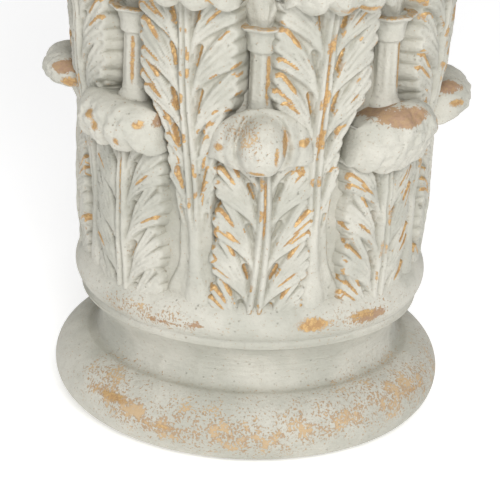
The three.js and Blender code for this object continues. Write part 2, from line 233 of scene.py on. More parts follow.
@dataclass(frozen=True)
class WornPaint:
    """Chalky paint over gold and a red-brown ground, rubbed through by attribute masks.

    The sizes and spacings of its noises are in millimetres. Each pair named a step says where that mask
    starts and where it is full.
    """

    pale: tuple = (0.572, 0.557, 0.49, 1)
    shaded: tuple = (0.465, 0.46, 0.40, 1)
    # Grime colour, which also serves as painted shade in the hollows
    grime_and_shade: tuple = (0.30, 0.285, 0.225, 1)
    gold: tuple = (0.63, 0.425, 0.20, 1)
    dull_gold: tuple = (0.42, 0.25, 0.11, 1)
    brown: tuple = (0.34, 0.20, 0.12, 1)
    ochre: tuple = (0.39, 0.245, 0.125, 1)
    roughness: float = 0.68
    gold_roughness: float = 0.38
    gold_metal: float = 0.75
    cloud_size: float = 55
    patch_size: float = 16
    crumb_size: float = 4.2
    speck_size: float = 1.9
    dust_size: float = 0.9
    brush_size: float = 14
    brush_flatness: float = 8
    pit_spacing: float = 6.5
    gold_step: tuple = (0.46, 0.56)
    fringe_step: tuple = (0.30, 0.46)
    worn_step: tuple = (0.44, 0.58)
    speckle_step: tuple = (0.64, 0.68)
    pit_step: tuple = (0.08, 0.15)
    bump_strength: float = 0.7
    bump_depth: float = 0.9

    def build(self) -> bpy.types.Material:
        """The finished material."""
        tree = ShaderTree("worn_paint")
        place = tree.place()
        cloud = tree.noise(place, self.cloud_size, 3)
        patchy = tree.noise(place, self.patch_size, 3, 0.6)
        crumb = tree.noise(place, self.crumb_size, 4, 0.7)
        speck = tree.noise(place, self.speck_size, 3, 0.6)
        dust = tree.noise(place, self.dust_size, 2)
        flat = tree.node("ShaderNodeMapping", {}, place, None, None, (1, 1, self.brush_flatness))
        brushed = tree.noise(flat, self.brush_size, 3, 0.6)
        cells = tree.node("ShaderNodeTexVoronoi", {}, place, None, 1 / (self.pit_spacing * MM))
        stippled = tree.mask("stipple")
        ragged = (crumb - 0.5) * 1.1 + (speck - 0.5) * 0.6

        # Where each layer shows: gold with its fringe, bare ground, specks, pits, and grime and painted shade
        # in the hollows
        gold = (tree.mask("gold") + ragged).step(*self.gold_step)
        fringe = (tree.mask("gold") + ragged * 0.7).step(*self.fringe_step)
        worn = (tree.mask("worn") + ragged * 0.9).step(*self.worn_step)
        gathered = stippled * (patchy - 0.24) * 0.34
        speckle = (speck * 0.85 + crumb * 0.15 + gathered).step(*self.speckle_step)
        bright = (patchy + stippled * 0.05).step(0.60, 0.68)
        pit = (1 - cells.step(*self.pit_step)) * patchy.step(0.44, 0.54)
        # Painted shade: the hollow mask darkens recesses, creases and undersides, with some grime mixed in
        hollow = tree.mask("hollow").clamped()
        dirt_and_shade = hollow * (0.50 + patchy.step(0.35, 0.6) * 0.35) + (1 - dust.step(0.3, 0.5)) * 0.07
        dirt_and_shade = dirt_and_shade + (1 - patchy.step(0.36, 0.46)) * 0.13

        # Paint first, then the layers in turn
        colour = tree.mix(cloud.step(0.38, 0.66), self.pale, self.shaded)
        # Painted shade in the hollows, with grime, dust and random darker patches, darkens the paint
        colour = tree.mix(dirt_and_shade.clamped(), colour, self.grime_and_shade)
        colour = tree.mix((pit * 0.6).clamped(), colour, self.grime_and_shade)
        spots = tree.mix(bright * 0.55, self.ochre, self.gold)
        colour = tree.mix((speckle * 0.8).clamped(), colour, spots)
        ground = tree.mix(crumb.step(0.40, 0.6), self.brown, self.ochre)
        colour = tree.mix(worn * 0.92, colour, ground)
        colour = tree.mix(fringe * 0.5, colour, self.ochre)
        leafed = tree.mix(crumb.step(0.4, 0.62), self.dull_gold, self.gold)
        tree.feed("Base Color", tree.mix(gold, colour, leafed))

        shine = gold * crumb.step(0.35, 0.6)
        tree.feed("Metallic", shine * self.gold_metal)
        tree.feed("Roughness", self.roughness - shine * (self.roughness - self.gold_roughness))
        height = patchy * 1.4 + crumb * 1.7 + speck * 0.8 + brushed * 0.9
        height = height - pit * 1.1 - speckle * 0.4 - worn * 0.5 - gold * 0.4
        bump = tree.node("ShaderNodeBump", {})
        inputs = bump.socket.node.inputs
        tree.links.new(height.socket, inputs["Height"])
        inputs["Strength"].default_value = self.bump_strength
        inputs["Distance"].default_value = self.bump_depth * MM
        tree.feed("Normal", bump)
        return tree.material


@dataclass(frozen=True)
class PlainFinish:
    """The floor's plain colour."""

    name: str
    colour: tuple
    glow: float

    def build(self) -> bpy.types.Material:
        """The finished material."""
        tree = ShaderTree(self.name)
        tree.feed("Base Color", self.colour)
        tree.feed("Roughness", 0.9)
        tree.feed("Emission Color", (1, 1, 1, 1))
        tree.feed("Emission Strength", self.glow)
        return tree.material


@dataclass
class Skin:
    """Points, faces and masks gathered for one mesh."""

    points: list = field(default_factory=list)
    faces: list = field(default_factory=list)
    masks: dict = field(default_factory=lambda: {name: [] for name in MASKS})
    count: int = 0

    def add_tube(self, rings: np.ndarray, masks: dict | None = None) -> None:
        """Adds a skin over rings of points, closed with a fan at both ends.

        Args:
            rings: places in millimetres, as stations by points round the ring by 3.
            masks: mask values as stations by points, by mask name.
        """
        stations, around = rings.shape[:2]
        number = self.count + np.arange(stations * around).reshape(stations, around)
        ahead = np.roll(number, -1, axis=1)
        quads = np.stack([number[:-1], number[1:], ahead[1:], ahead[:-1]], axis=-1).reshape(-1, 4)
        self.points.append(rings.reshape(-1, 3))
        self.faces.append(quads)
        self.count += stations * around
        for name in MASKS:
            values = (masks or {}).get(name)
            flat = np.zeros(stations * around) if values is None else values.reshape(-1)
            self.masks[name].append(flat)
        self._fan(number[0], rings[0], False)
        self._fan(number[-1], rings[-1], True)

    def _fan(self, ring: np.ndarray, places: np.ndarray, flip: bool) -> None:
        """Closes a ring with triangles about its middle."""
        middle = self.count
        self.points.append(places.mean(axis=0)[None])
        self.count += 1
        ahead = np.roll(ring, -1)
        pair = (ahead, ring) if flip else (ring, ahead)
        self.faces.append(np.stack([np.full_like(ring, middle), pair[0], pair[1], pair[1]], axis=-1))
        for name in MASKS:
            self.masks[name].append(np.zeros(1))

    def mesh(self, name: str) -> bpy.types.Mesh:
        """The gathered skin as a mesh in metres, shaded smooth, with its masks as attributes."""
        points = np.concatenate(self.points) * MM
        rows = np.concatenate(self.faces)
        triangles = rows[:, 2] == rows[:, 3]
        sizes = np.where(triangles, 3, 4)
        corners = rows.reshape(-1)[np.repeat(~triangles, 4) | np.tile([True, True, True, False], len(rows))]
        mesh = bpy.data.meshes.new(name)
        mesh.vertices.add(len(points))
        mesh.vertices.foreach_set("co", points.astype(np.float32).reshape(-1))
        mesh.loops.add(len(corners))
        mesh.loops.foreach_set("vertex_index", corners.astype(np.int32))
        mesh.polygons.add(len(rows))
        starts = np.concatenate([[0], np.cumsum(sizes)[:-1]])
        mesh.polygons.foreach_set("loop_start", starts.astype(np.int32))
        mesh.polygons.foreach_set("use_smooth", np.ones(len(rows), bool))
        mesh.update(calc_edges=True)
        for mask in MASKS:
            layer = mesh.attributes.new(mask, "FLOAT", "POINT")
            layer.data.foreach_set("value", np.concatenate(self.masks[mask]).astype(np.float32))
        mesh.validate()
        return mesh


def soft_step(value: np.ndarray, low: float, high: float) -> np.ndarray:
    """A soft step from 0 at low to 1 at high."""
    share = np.clip((value - low) / (high - low), 0, 1)
    return share * share * (3 - 2 * share)


def lumps(x: np.ndarray, y: np.ndarray, size: float, seed: int) -> np.ndarray:
    """Smooth unevenness between about -1 and 1, from a few waves whose length is near size."""
    waves = np.random.default_rng(seed)
    total = np.zeros_like(x, dtype=float)
    for _ in range(6):
        heading = waves.uniform(0, math.tau)
        length = size * waves.uniform(0.7, 1.6)
        phase = waves.uniform(0, math.tau)
        total += np.sin(math.tau * (x * math.cos(heading) + y * math.sin(heading)) / length + phase)
    return total / 3.5


def spread_out(grid: np.ndarray, reach: int = 2) -> np.ndarray:
    """The grid averaged over a few neighbours each way."""
    total = grid
    for axis in (0, 1):
        total = sum(np.roll(total, shift, axis) for shift in range(-reach, reach + 1)) / (2 * reach + 1)
    return total


@dataclass(frozen=True)
class Patch:
    """A place where one mask is raised: rubbed through, gilded, stippled, or darkened through the hollow
    mask.

    Attributes:
        mask: the mask that it is added to.
        angle: where its middle lies round the plinth, in degrees.
        height: how high its middle lies.
        wide: half its width.
        tall: half its height.
        strength: how strong it is in its middle.
    """

    mask: str
    angle: float
    height: float
    wide: float
    tall: float
    strength: float = 1.0

    def on(self, angle: np.ndarray, height: np.ndarray, radius: float) -> np.ndarray:
        """How strongly each point lies in the patch."""
        turn = (angle - self.angle + 180) % 360 - 180
        across = np.radians(turn) * radius / self.wide
        return self.strength * np.exp(-(across**2 + ((height - self.height) / self.tall) ** 2))


@dataclass(frozen=True)
class Proportions:
    """The plinth's own sizes, the same as its solid's."""

    foot_radius: float = 165
    foot_height: float = 57
    neck_radius: float = 126
    neck_height: float = 44
    ring_radius: float = 149
    ring_height: float = 38
    bell_radius: float = 128
    bell_height: float = 401
    lip_radius: float = 146
    lip_height: float = 16
    horn_reach: float = 262
    horn_width: float = 44
    side_reach: float = 152
    abacus_height: float = 60
    leaf_sink: float = 8
    leaves: int = 8
    corners: int = 4

    @property
    def ring_bottom(self) -> float:
        """Height of the ring's underside."""
        return self.foot_height + self.neck_height

    @property
    def ring_top(self) -> float:
        """Height of the ring's top, where the bell starts."""
        return self.ring_bottom + self.ring_height

    @property
    def bell_top(self) -> float:
        """Height of the abacus' underside."""
        return self.ring_top + self.bell_height

    @property
    def leaf_foot(self) -> float:
        """Height at which the leaves stand on the ring."""
        return self.ring_top - self.leaf_sink

    @property
    def total_height(self) -> float:
        """Height of the top."""
        return self.bell_top + self.abacus_height

    def bell(self, height: np.ndarray | float) -> np.ndarray | float:
        """The bell's radius at a height over its foot."""
        share = np.clip(np.asarray(height, float) / self.bell_height, 0, 1)
        return self.bell_radius + (self.lip_radius - self.bell_radius) * 0.62 * share**3


@dataclass
class Core:
    """Foot, hollow neck, ring and bell, turned and then left a little uneven as cast."""

    size: Proportions
    around: int = 272
    backing: float = 6.0
    backing_height: float = 165
    throat_rise: float = 14
    fillet_drop: float = 3
    upper_flare: float = 15
    lower_flare: float = 5
    bead_radius: float = 1.5
    bead_middle: tuple = (15.6, 1.6)
    patch_radius: float = 150
    patches: tuple = (
        Patch("stipple", 246, 116, 26, 11, 1.3),
        Patch("stipple", 264, 119, 34, 9, 1.7),
        Patch("worn", 262, 115, 30, 4, 0.62),
        Patch("worn", 275, 119, 10, 5, 0.6),
        Patch("gold", 312, 121, 15, 6.5, 0.95),
        Patch("worn", 334, 119, 27, 7, 0.8),
        Patch("gold", 330, 122, 20, 5, 0.7),
        Patch("stipple", 330, 119, 44, 12, 1.3),
        Patch("stipple", 240, 50, 24, 12, 1.0),
        Patch("stipple", 251, 40, 34, 14, 1.45),
        Patch("gold", 249, 41, 26, 5, 0.72),
        Patch("stipple", 264, 32, 36, 14, 1.4),
        Patch("gold", 266, 30, 26, 3, 0.55),
        Patch("stipple", 283, 34, 46, 17, 1.25),
        Patch("stipple", 300, 24, 40, 13, 0.9),
        Patch("stipple", 318, 40, 50, 14, 1.25),
        Patch("stipple", 345, 45, 56, 17, 1.4),
        Patch("gold", 352, 40, 30, 4, 0.5),
        Patch("stipple", 30, 36, 90, 16, 1.2),
        Patch("stipple", 95, 42, 60, 14, 1.3),
        Patch("stipple", 150, 34, 90, 16, 1.2),
        Patch("stipple", 60, 120, 60, 10, 1.3),
        Patch("worn", 66, 117, 22, 6, 0.75),
        Patch("worn", 150, 120, 28, 6, 0.75),
        Patch("gold", 158, 121, 14, 5, 0.8),
        Patch("stipple", 200, 118, 60, 10, 1.0),
    )

    def profile(self) -> np.ndarray:
        """Radius and height of the turned form, from the middle of the underside to inside the abacus."""
        size = self.size
        foot = size.foot_height / 2
        ring = size.ring_height / 2

        def arc(r: float, z: float, radius: float, start: float, end: float, steps: int) -> list:
            """Points on a round stretch, which starts and ends at these half turns."""
            turns = np.linspace(start, end, steps) * math.pi
            return [(r + radius * math.cos(a), z + radius * math.sin(a)) for a in turns]

        throat = size.foot_height + self.throat_rise
        fillet = size.ring_bottom - self.fillet_drop
        neck = []
        for z in np.linspace(size.foot_height + 1.5, fillet, 26):
            above = (z - throat) / (fillet - throat)
            below = (throat - z) / self.throat_rise
            flare = self.upper_flare * above**2 if z > throat else self.lower_flare * below**2
            neck.append((size.neck_radius + flare, z))
        out, up = self.bead_middle
        bead = arc(size.neck_radius + out, fillet + up, self.bead_radius, -0.35, 0.3, 6)
        wall_top = size.bell_top - size.lip_height
        wall = []
        for z in np.linspace(size.ring_top + 0.5, wall_top, 56):
            over = z - size.ring_top
            backed = self.backing * (1 - soft_step(over, self.backing_height, self.backing_height + 60))
            wall.append((float(size.bell(over) + backed), z))
        lip = size.lip_height / 2
        rows = [(0.5, 0.0), (60, 0.0), (120, 0.0)]
        rows += arc(size.foot_radius - foot, foot, foot, -0.5, 0.54, 46)
        rows += neck + bead
        rows += arc(size.ring_radius - ring, size.ring_bottom + ring, ring, -0.3, 0.5, 26)
        rows += wall
        rows += arc(size.lip_radius - lip, size.bell_top - lip, lip, -0.4, 0.45, 10)
        rows += [(size.bell_radius, size.bell_top + 12), (0.5, size.bell_top + 12)]
        return np.array(rows)

    def build(self) -> Skin:
        """The core as one skin, with its rubbed patches."""
        profile = self.profile()
        angle = np.linspace(0, math.tau, self.around, endpoint=False)
        radius = np.repeat(profile[:, :1], self.around, axis=1)
        height = np.repeat(profile[:, 1:], self.around, axis=1)
        turn = np.repeat(angle[None], len(profile), axis=0)
        size = self.size
        seen = (height > 2) & (height < size.bell_top) & (radius > 125)
        on_neck = (height > size.foot_height) & (height < size.ring_bottom)
        uneven = 0.5 * np.cos(2 * turn + 0.6) + 0.35 * np.cos(5 * turn + 1.1)
        drag = 0.22 * np.sin(height * 1.3 + 2.2 * np.sin(turn * 3))
        amount = np.where(seen, uneven * 0.45 + drag * on_neck - 0.5, 0)
        radius = radius + amount
        places = np.stack([radius * np.cos(turn), radius * np.sin(turn), height], axis=-1)
        degrees = np.degrees(turn)
        masks = {name: np.zeros_like(radius) for name in MASKS}
        for patch in self.patches:
            masks[patch.mask] += patch.on(degrees, height, self.patch_radius)
        on_foot = height < size.foot_height
        masks["stipple"] += np.where(on_foot, 0.25, 0.12)
        # Painted shade through the hollow mask: the crease over the foot, the underside of the ring, the
        # bell's foot behind the leaves, and the whole foot a little darker
        crease = np.exp(-(((height - size.foot_height - 0.5) / 2.5) ** 2)) * (radius < 138)
        under = np.exp(-(((height - size.ring_bottom + 2) / 2.2) ** 2))
        bell = soft_step(height, size.ring_top - 1, size.ring_top + 5)
        masks["hollow"] = 0.4 * crease + 0.3 * under + 0.32 * bell + 0.1 * on_foot
        skin = Skin()
        skin.add_tube(places[:, ::-1], {k: v[:, ::-1] for k, v in masks.items()})
        return skin


@dataclass(frozen=True)
class LeafForm:
    """One row's leaf: its size, how it stands off the bell, and where its lobes are.

    Attributes:
        height: from its foot to its top.
        width: its full width.
        stand: how far its face stands off the bell.
        reach: how far its curl stands off the bell.
        lean: how far its top leans out.
        curl_height: the height of its curl.
        stem_share: share of its height that is a narrow stem.
        stem_width: the stem's width.
        first_lobe: where its lowest fan of fingers springs.
        lobes: how many fans it has on each side.
        fingers: how many fingers a fan has.
        finger_pitch: how far apart their tips lie.
        finger_half: half a finger's width.
        scoop: how deep a finger is hollowed.
        slit: how far the eye between two fans is drawn out.
        setback: share of the stand that its foot has.
        lobe_pitch: how far apart the fans spring.
        rise: how far a fan's lowest tip stands over its root.
    """

    height: float
    width: float
    stand: float
    reach: float
    lean: float
    curl_height: float
    stem_share: float
    stem_width: float
    first_lobe: float
    lobes: int
    fingers: int
    finger_pitch: float
    finger_half: float
    scoop: float
    slit: float
    setback: float
    lobe_pitch: float = 35
    rise: float = 26


@dataclass
class Relief:
    """Heights and masks over a leaf's face, gathered finger by finger."""

    x: np.ndarray
    y: np.ndarray
    height: np.ndarray

    def __post_init__(self) -> None:
        """Starts with nothing dug and no gold."""
        self.gold = np.zeros_like(self.x)
        self.dug = np.zeros_like(self.x)

    def _along(self, route: np.ndarray) -> tuple[np.ndarray, np.ndarray, np.ndarray]:
        """Distance to a route, the share of the way along it and the side of it, at every point."""
        best = np.full_like(self.x, 1e9)
        share = np.zeros_like(self.x)
        hand = np.zeros_like(self.x)
        legs = len(route) - 1
        for leg in range(legs):
            (ax, ay), (bx, by) = route[leg], route[leg + 1]
            dx, dy = bx - ax, by - ay
            along = np.clip(((self.x - ax) * dx + (self.y - ay) * dy) / (dx * dx + dy * dy + 1e-9), 0, 1)
            gap = np.hypot(self.x - ax - along * dx, self.y - ay - along * dy)
            near = gap < best
            best = np.where(near, gap, best)
            share = np.where(near, (leg + along) / legs, share)
            hand = np.where(near, np.sign(dx * (self.y - ay) - dy * (self.x - ax)), hand)
        return best, share, hand

    def ridge(self, route: np.ndarray, half: tuple, bulge: tuple, base: tuple,
              scoop: float = 0, gold: tuple = (0, 0), side: int = 1) -> None:
        """Joins a rounded ridge to the face.

        Args:
            route: the ridge's middle line.
            half: half width at its root and at its tip.
            bulge: how round it is at its root and at its tip.
            base: height of its edge at its root, middle and tip.
            scoop: how far its middle is hollowed near the tip.
            gold: strength of the gold on its rim and along its middle.
            side: 1 or -1, the hand of the rim that the gold lies on.
        """
        gap, share, hand = self._along(route)
        width = half[0] + (half[1] - half[0]) * share
        crown = bulge[0] + (bulge[1] - bulge[0]) * share
        level = np.interp(share, (0, 0.65, 1), base)
        inside = np.clip(1 - (gap / width) ** 2, 0, None)
        hollow = scoop * np.exp(-((gap / (0.5 * width)) ** 2)) * soft_step(share, 0.25, 0.6)
        height = level + crown * np.sqrt(inside) - hollow - 2.6 * np.clip(gap - width, 0, None)
        own = soft_step(height - self.height, -0.3, 0.5)
        rim = np.exp(-(((gap - 0.8 * width) / 1.7) ** 2)) * soft_step(share, 0.70, 0.84)
        rim = rim * (hand * side > -0.5)
        vein = np.exp(-((gap / 1.3) ** 2)) * soft_step(share, 0.45, 0.6) * (1 - soft_step(share, 0.78, 0.92))
        here = np.maximum(gold[0] * rim, gold[1] * vein)
        self.gold = self.gold * (1 - own) + own * here
        soft = 0.4
        top = np.maximum(self.height, height)
        self.height = top + soft * np.log(np.exp((self.height - top) / soft) + np.exp((height - top) / soft))

    def dig(self, start: tuple, end: tuple, half: float, depth: float, gold: float) -> None:
        """Sinks a drop-shaped pocket, pointed at its start, and leaves gold down its outer side."""
        gap, share, hand = self._along(np.array([start, end]))
        width = half * (0.35 + 0.65 * share)
        pocket = np.exp(-((gap / width) ** 4))
        lip = np.exp(-(((gap - width * 1.5) / 1.2) ** 2))
        self.height += 0.7 * lip - depth * pocket
        self.dug = np.maximum(self.dug, pocket)
        outer = hand * np.sign(end[0]) < 0.5
        rim = np.exp(-(((gap - width * 0.45) / 1.5) ** 2)) * outer * soft_step(share, 0.0, 0.3)
        self.gold = np.maximum(self.gold * (1 - pocket), gold * rim)


def bent(start: tuple, knee: tuple, end: tuple, steps: int = 9) -> np.ndarray:
    """A route that leaves start towards knee and bends round to end."""
    t = np.linspace(0, 1, steps)[:, None]
    return (1 - t) ** 2 * np.array(start) + 2 * t * (1 - t) * np.array(knee) + t**2 * np.array(end)


@dataclass
class Leaf:
    """One acanthus leaf, with its own small differences."""

    size: Proportions
    form: LeafForm
    angle: float
    curl: Curl
    seed: int
    sway: float = 0.0
    bow: float = 0.0
    wider: float = 1.0
    gold_share: float = 0.3
    patches: tuple = ()
    across: int = 92
    over: int = 54
    finger_reach: tuple = (0.95, 1.0, 0.97, 0.84)

    @property
    def along(self) -> int:
        """How many rows the face has."""
        return 155 if self.form.height < 200 else 190

    def half_width(self, share: np.ndarray) -> np.ndarray:
        """Half the leaf's width at a share of its height."""
        form = self.form
        half = form.width * self.wider / 2
        if form.stem_share == 0:
            return np.full_like(np.asarray(share, float), half)
        first = soft_step(share, form.stem_share - 0.05, form.stem_share + 0.04)
        second = soft_step(share, form.stem_share + 0.16, form.stem_share + 0.30)
        side_lobes = form.stem_width * 0.85
        return form.stem_width / 2 + (side_lobes - form.stem_width / 2) * first + (half - side_lobes) * second

    def relief(self, x: np.ndarray, y: np.ndarray) -> Relief:
        """The carving over the leaf's face: midrib, fans of fingers, and the pockets between the fans."""
        form = self.form
        rng = np.random.default_rng(self.seed)
        top = form.height - form.curl_height
        wobble = 1.5 * np.sin(y * math.tau / 9.3 + self.seed)
        wobble = wobble + 1.1 * np.sin(y * math.tau / 23 + self.seed * 2)
        edge = self.half_width(y / form.height) - 4.5 + wobble
        face = Relief(x, y, -3.0 - 16 * soft_step(np.abs(x) - edge, -1.5, 2.5))
        for lobe in range(form.lobes):
            for side in (-1, 1):
                root = form.first_lobe + lobe * form.lobe_pitch + rng.uniform(-2, 2)
                for finger in range(form.fingers - 1, -1, -1):
                    rise = form.rise + finger * form.finger_pitch + rng.uniform(-1.2, 1.2)
                    limit = float(self.half_width((root + rise - 8) / form.height))
                    reach = limit * self.finger_reach[finger] * rng.uniform(0.96, 1.01) - form.finger_half
                    start = (side * (3.2 + 1.4 * finger), root - 10 + 3.4 * finger)
                    knee = (side * (6.5 + 1.6 * finger), root + rise * 0.45)
                    route = bent(start, knee, (side * reach, root + rise))
                    tip = form.finger_half * rng.uniform(0.92, 1.1)
                    level = (-1.8, 1.1 - 0.4 * finger, 0.4 - 0.4 * finger + rng.uniform(-0.4, 0.4))
                    lucky = rng.random(2) < self.gold_share
                    gold = (1.1 * lucky[0], 0.9 * (lucky[1] and finger == 1))
                    face.ridge(route, (1.2, tip), (0.9, 1.8), level, form.scoop, gold, side)
                gold = rng.uniform(0.7, 1.1) * (rng.random() < 1.6 * self.gold_share)
                eye = (side * 6.8, root - 15 - form.slit), (side * (12.5 - form.slit * 0.2), root - 1)
                face.dig(*eye, 2.4, 2.6, gold)
        for side in (-1, 1):
            rib = bent((side * 4.2, -6), (side * 3.2, top * 0.4), (side * 1.7, top + 30))
            face.ridge(rib, (2.6, 1.3), (2.0, 1.3), (1.0, 1.9, 1.2))
        groove = np.exp(-((x / 1.0) ** 2))
        stretch = soft_step(y, top * 0.45, top * 0.55) * (1 - soft_step(y, top * 0.86, top * 0.94))
        chips = soft_step(lumps(x * 0.2, y, 16, self.seed + 3), 0.25, 0.6)
        brim = np.exp(-(((np.abs(x) - edge - 1) / 1.8) ** 2))
        face.gold = np.maximum(face.gold, 0.9 * groove * stretch * (rng.random() < 0.7))
        chipped = 0.8 * brim * chips * (self.gold_share > 0.2) * (form.stem_share == 0)
        face.gold = np.maximum(face.gold, chipped)
        return face

    def stem(self, x: np.ndarray, y: np.ndarray, face: Relief) -> None:
        """Turns the lower part of an upper leaf into its smooth stem, with a line down each side."""
        form = self.form
        clear = soft_step(y, form.stem_share * form.height - 34, form.stem_share * form.height + 8)
        broad = np.abs(x) / (1 + 1.1 * np.exp(-((y / 24) ** 2)))
        plain = np.exp(-((broad / 4.5) ** 2)) - 4.2 * soft_step(broad, 2.5, 9.5)
        plain -= 12 * soft_step(broad, 14, 22)
        plain -= 0.6 * np.exp(-(((broad - 6.0) / 0.8) ** 2))
        face.height = plain + (face.height - plain) * clear
        face.gold *= clear
        face.dug *= clear

    def knob(self, s: np.ndarray) -> tuple[np.ndarray, np.ndarray, np.ndarray]:
        """Depth share, lower edge and upper edge of the curl at shares across it."""
        knob = self.curl.value
        shift = np.random.default_rng(self.seed + 77).uniform(-0.3, 0.3)
        depth = knob.shoulder * np.sqrt(np.clip(1 - np.abs(s) ** knob.end_power, 0, 1))
        egg = np.exp(-((s * knob.half / knob.egg_half) ** 4)) if knob.egg_half else np.zeros_like(s)
        high = self.form.curl_height * knob.crest * (1 - knob.arch * np.abs(s) ** knob.arch_power)
        scallop = np.abs(np.sin((s * knob.scallops / 2 + shift) * math.pi))
        low = (knob.scallop_depth * (1 - scallop) + knob.tuck * (0.6 + 0.5 * np.abs(s))) * (1 - egg)
        low -= knob.sag * (1 - s**2)
        return depth, low, high

    def build(self, skin: Skin) -> None:
        """Adds the leaf to a skin."""
        form, size, knob = self.form, self.size, self.curl.value
        u = np.linspace(-1, 1, self.across)
        bottom = form.height - form.curl_height
        v = np.linspace(0, bottom + 3, self.along)
        grid_u, grid_y = np.meshgrid(u, v, indexing="ij")
        x = grid_u * (form.width * self.wider / 2 + 6)
        face = self.relief(x, grid_y)
        if form.stem_share > 0:
            self.stem(x, grid_y, face)
        share = grid_y / form.height
        rest = form.setback + (1 - form.setback) * soft_step(share, form.stem_share, form.stem_share + 0.34)
        stand = form.stand * rest + form.lean * share**2
        crown = -0.16 * form.stand * np.abs(x / (form.width / 2)) ** 4
        uneven = 0.55 * lumps(x, grid_y, 24, self.seed + 5) + 0.2 * lumps(x, grid_y, 6.5, self.seed + 6)
        lift = np.clip(face.height + crown + uneven, -(stand + 7), None)
        radius = size.bell(grid_y) + stand + lift
        cavity = spread_out(lift) - lift
        wrap = size.bell_radius + form.stand
        swing = self.sway * (1 - share) + self.bow * np.sin(math.pi * share)
        turn = x / wrap + np.radians(swing)

        depth, low, high = self.knob(u)
        grow = form.width / 80
        spread = form.reach - form.stand - form.lean
        base_r = size.bell(bottom) + form.stand + form.lean + 1.0
        roll = np.linspace(-0.60, 0.66, self.over) * math.pi
        curl_r = base_r + spread * depth[:, None] * (0.42 + 0.58 * np.cos(roll)[None])
        middle, tall = (low + high)[:, None] / 2, (high - low)[:, None] / 2
        curl_y = bottom + middle + tall * np.sin(roll)[None]
        under = np.clip(-np.sin(roll), 0, 1)[None]
        curl_y = curl_y - knob.drape * under**1.5 * (1 - 0.6 * u[:, None] ** 2)
        curl_r = curl_r - 0.022 * knob.drape * spread * depth[:, None] * under
        curl_x = (u * knob.half * grow)[:, None] * (1 - 0.05 * np.sin(roll))[None]
        gather = curl_x * (1 - 0.3 * np.sin(roll))[None]
        folds = np.abs(np.sin(gather * math.pi / knob.fold_pitch + self.seed)) ** 0.6 - 0.7
        window = np.clip(np.cos(roll * 0.8 + 0.2), 0, 1)[None] * depth[:, None]
        push = 1.7 * lumps(curl_x + 300, curl_y, 17, self.seed + 9)
        push = push + 0.9 * lumps(curl_x, curl_y, 7, self.seed + 8)
        curl_r = curl_r + push * depth[:, None] + 1.6 * knob.fold * folds * window
        if knob.egg_half:
            egg_y = bottom + 0.45 * form.curl_height
            gap = np.hypot(curl_x / knob.egg_half, (curl_y - egg_y) / knob.egg_tall)
            crease = np.exp(-(((gap - 1.04) / 0.13) ** 2)) + 0.5 * np.exp(-(((gap - 1.6) / 0.14) ** 2))
            egg = np.sqrt(np.clip(1 - gap**2, 0, 1))
            curl_r = curl_r + (knob.egg_out * egg - 4.5 * crease) * soft_step(window, 0, 0.5)
        curl_r = np.where(np.abs(u)[:, None] > 0.985, size.bell_radius - 8, curl_r)
        curl_turn = curl_x / np.maximum(curl_r, wrap)

        back_r = np.full((self.across, 2), size.bell_radius - 9)
        back_z = np.repeat(np.array([[form.height - 10, 0.0]]), self.across, axis=0) + size.leaf_foot
        back_turn = np.repeat((u * form.width * 0.4 / wrap)[:, None], 2, axis=1)
        none = np.zeros((self.across, 2))
        radius = np.concatenate([radius, curl_r, back_r], axis=1)
        height = np.concatenate([size.leaf_foot + grid_y, size.leaf_foot + curl_y, back_z], axis=1)
        turn = np.concatenate([turn, curl_turn, back_turn], axis=1) + math.radians(self.angle)
        rubbed = soft_step(-cavity, 0.35, 0.9) * soft_step(lumps(x, grid_y, 19, self.seed + 2), 0.15, 0.6)
        face.gold = np.maximum(face.gold, 1.3 * self.gold_share * rubbed)
        masks = {"gold": np.concatenate([face.gold, self.knob_gold(curl_x, roll), none], axis=1)}
        # Painted shade through the hollow mask: in the pockets, deep places and hollows of the face, and in
        # the folds of the curl
        recess_shade = 0.5 * face.dug + 0.3 * soft_step(-lift, 1.0, 5) + 0.75 * soft_step(cavity, 0.16, 1.0)
        fold_shade = 0.25 * soft_step(-folds, 0.25, 0.7) * window
        masks["hollow"] = np.concatenate([np.clip(recess_shade, 0, 1), fold_shade, none], axis=1)
        masks["worn"] = np.zeros_like(radius)
        masks["stipple"] = np.full_like(radius, 0.1)
        for patch in self.patches:
            masks[patch.mask] += patch.on(np.degrees(turn), height, radius)
        places = np.stack([radius * np.cos(turn), radius * np.sin(turn), height], axis=-1)
        skin.add_tube(places, masks)

    def knob_gold(self, x: np.ndarray, roll: np.ndarray) -> np.ndarray:
        """Where gold shows on a curl that has no rubbed places of its own."""
        gold = np.zeros_like(x)
        if self.patches:
            return gold
        rng = np.random.default_rng(self.seed + 31)
        for _ in range(4):
            spot = rng.uniform(-0.85, 0.85) * self.form.width / 2
            level = rng.uniform(-0.45, 0.12) * math.pi
            gap = np.hypot((x - spot) / rng.uniform(2.0, 4.0), (roll[None] - level) / rng.uniform(0.16, 0.4))
            gold = np.maximum(gold, rng.uniform(0.6, 1.0) * np.exp(-(gap**2)))
        return gold


LOWER = LeafForm(
    height=172, width=82, stand=18, reach=50, lean=0, curl_height=44, stem_share=0.0, stem_width=82,
    first_lobe=-28, lobes=5, fingers=4, finger_pitch=9, finger_half=3.7, scoop=1.1, slit=0, setback=0.8,
)
UPPER = LeafForm(
    height=305, width=85, stand=24, reach=66, lean=10, curl_height=44, stem_share=0.30, stem_width=26,
    first_lobe=48, lobes=7, fingers=3, finger_pitch=12, finger_half=4.9, scoop=1.9, slit=6, setback=0.56,
)


@dataclass(frozen=True)
class Character:
    """What sets one leaf of a row apart from the others."""

    curl: Curl
    turned: float = 0.0
    sway: float = 0.0
    bow: float = 0.0
    wider: float = 1.0
    gold_share: float = 0.3
    patches: tuple = ()


